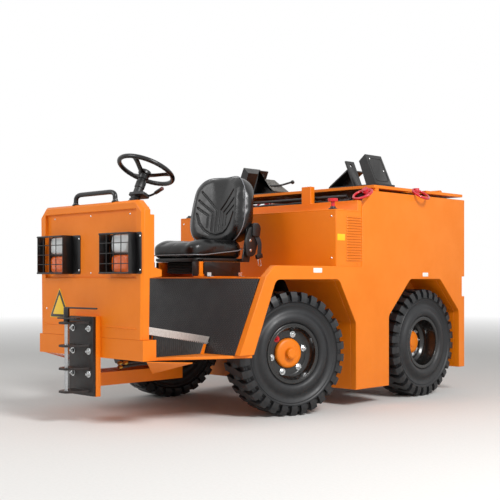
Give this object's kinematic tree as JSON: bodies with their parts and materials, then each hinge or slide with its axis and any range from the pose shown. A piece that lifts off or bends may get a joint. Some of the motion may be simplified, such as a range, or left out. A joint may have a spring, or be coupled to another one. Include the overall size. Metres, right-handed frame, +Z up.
{
  "type": "airport baggage tug",
  "caption": "Low battery tow tractor with an open driver's seat, boxed front cowl with guarded lamps, multi-level pin couplings at both ends and a hinged deck lid over the battery.",
  "frame": {"origin": "on the ground under the middle of the overall length and width", "axes": "+X to the vehicle's left, +Y to its rear, +Z up; the front with its cowl faces -Y"},
  "size_m": [1.8008, 3.5086, 1.846],
  "materials": {
    "orange_paint": "gloss",
    "black_paint": "satin",
    "tyre": "matte",
    "rim_paint": "satin",
    "steel": "satin",
    "rubber_mat": "matte",
    "tread_plate": "satin",
    "lamp_glass": "clear",
    "amber_plastic": "gloss",
    "red_plastic": "gloss",
    "red_paint": "gloss",
    "seat_vinyl": "satin",
    "black_plastic": "matte"
  },
  "bodies": {
    "body": {"chassis_frame": "orange_paint", "rear_axle": "black_paint", "front_axle": "black_paint", "body_side_left": "orange_paint", "body_side_right": "orange_paint", "wheel_housings": "orange_paint", "footwell_rear_wall": "rubber_mat", "seat_deck": "orange_paint", "floor_plate": "tread_plate", "entry_steps": "orange_paint", "front_cowl": "orange_paint", "dashboard": "orange_paint", "lamp_guards": "black_paint", "headlamps": "lamp_glass", "indicators": "amber_plastic", "grab_handle": "black_paint", "front_coupling": "black_paint", "rear_coupling": "black_paint", "steering_column": "black_paint", "hood_front_panel": "orange_paint", "louvre_panels": "orange_paint", "hood_top": "orange_paint", "back_panel": "orange_paint", "battery_block": "black_plastic", "tail_lamps": "red_plastic", "lifting_rings": "red_paint", "stop_button": "red_plastic"},
    "knuckle_left": {"knuckle_left": "black_paint"},
    "knuckle_right": {"knuckle_right": "black_paint"},
    "wheel_front_left": {"tyre_front_left": "tyre", "rim_front_left": "rim_paint", "hub_front_left": "orange_paint"},
    "wheel_front_right": {"tyre_front_right": "tyre", "rim_front_right": "rim_paint", "hub_front_right": "orange_paint"},
    "wheel_rear_left": {"tyre_rear_left": "tyre", "rim_rear_left": "rim_paint", "hub_rear_left": "orange_paint"},
    "wheel_rear_right": {"tyre_rear_right": "tyre", "rim_rear_right": "rim_paint", "hub_rear_right": "orange_paint"},
    "steering_wheel": {"steering_wheel": "black_plastic"},
    "front_coupling_pin": {"front_coupling_pin": "steel"},
    "rear_coupling_pin": {"rear_coupling_pin": "steel"},
    "lid": {"lid": "orange_paint", "deck_cradles": "black_paint"},
    "seat": {"seat_frame": "black_paint", "seat_cushion": "seat_vinyl", "seat_back": "seat_vinyl"}
  },
  "joints": [
    {"name": "steer_left", "type": "hinge", "parent": "body", "child": "knuckle_left", "pos_m": [0.5, -0.372, 0.415], "axis": [0, 0, 1], "range_deg": [-20, 50]},
    {"name": "steer_right", "type": "hinge", "parent": "body", "child": "knuckle_right", "pos_m": [-0.5, -0.372, 0.415], "axis": [0, 0, 1], "range_deg": [-20, 50]},
    {"name": "roll_front_left", "type": "hinge", "parent": "knuckle_left", "child": "wheel_front_left", "pos_m": [0.66904, -0.41729, 0.415], "axis": [0.9659, -0.2588, 0], "continuous": true},
    {"name": "roll_front_right", "type": "hinge", "parent": "knuckle_right", "child": "wheel_front_right", "pos_m": [-0.66904, -0.32671, 0.415], "axis": [0.9659, -0.2588, 0], "continuous": true},
    {"name": "roll_rear_left", "type": "hinge", "parent": "body", "child": "wheel_rear_left", "pos_m": [0.665, 1.07, 0.415], "axis": [1, 0, 0], "continuous": true},
    {"name": "roll_rear_right", "type": "hinge", "parent": "body", "child": "wheel_rear_right", "pos_m": [-0.665, 1.07, 0.415], "axis": [1, 0, 0], "continuous": true},
    {"name": "steering_wheel_turn", "type": "hinge", "parent": "body", "child": "steering_wheel", "pos_m": [0, -1.076, 1.65], "axis": [0, 0.4226, 0.9063], "range_deg": [-320, 800]},
    {"name": "front_pin_lift", "type": "slide", "parent": "body", "child": "front_coupling_pin", "axis": [0, 0, 1], "range_m": [0, 0.46]},
    {"name": "rear_pin_lift", "type": "slide", "parent": "body", "child": "rear_coupling_pin", "axis": [0, 0, 1], "range_m": [0, 0.46]},
    {"name": "lid_hinge", "type": "hinge", "parent": "body", "child": "lid", "pos_m": [0, 1.572, 1.626], "axis": [-1, 0, 0], "range_deg": [0, 60]},
    {"name": "seat_slide", "type": "slide", "parent": "body", "child": "seat", "axis": [0, 1, 0], "range_m": [-0.08, 0.08]}
  ],
  "couplings": [
    {"joint": "steer_right", "follows": "steer_left", "ratio": 1},
    {"joint": "steering_wheel_turn", "follows": "steer_left", "ratio": 16}
  ]
}
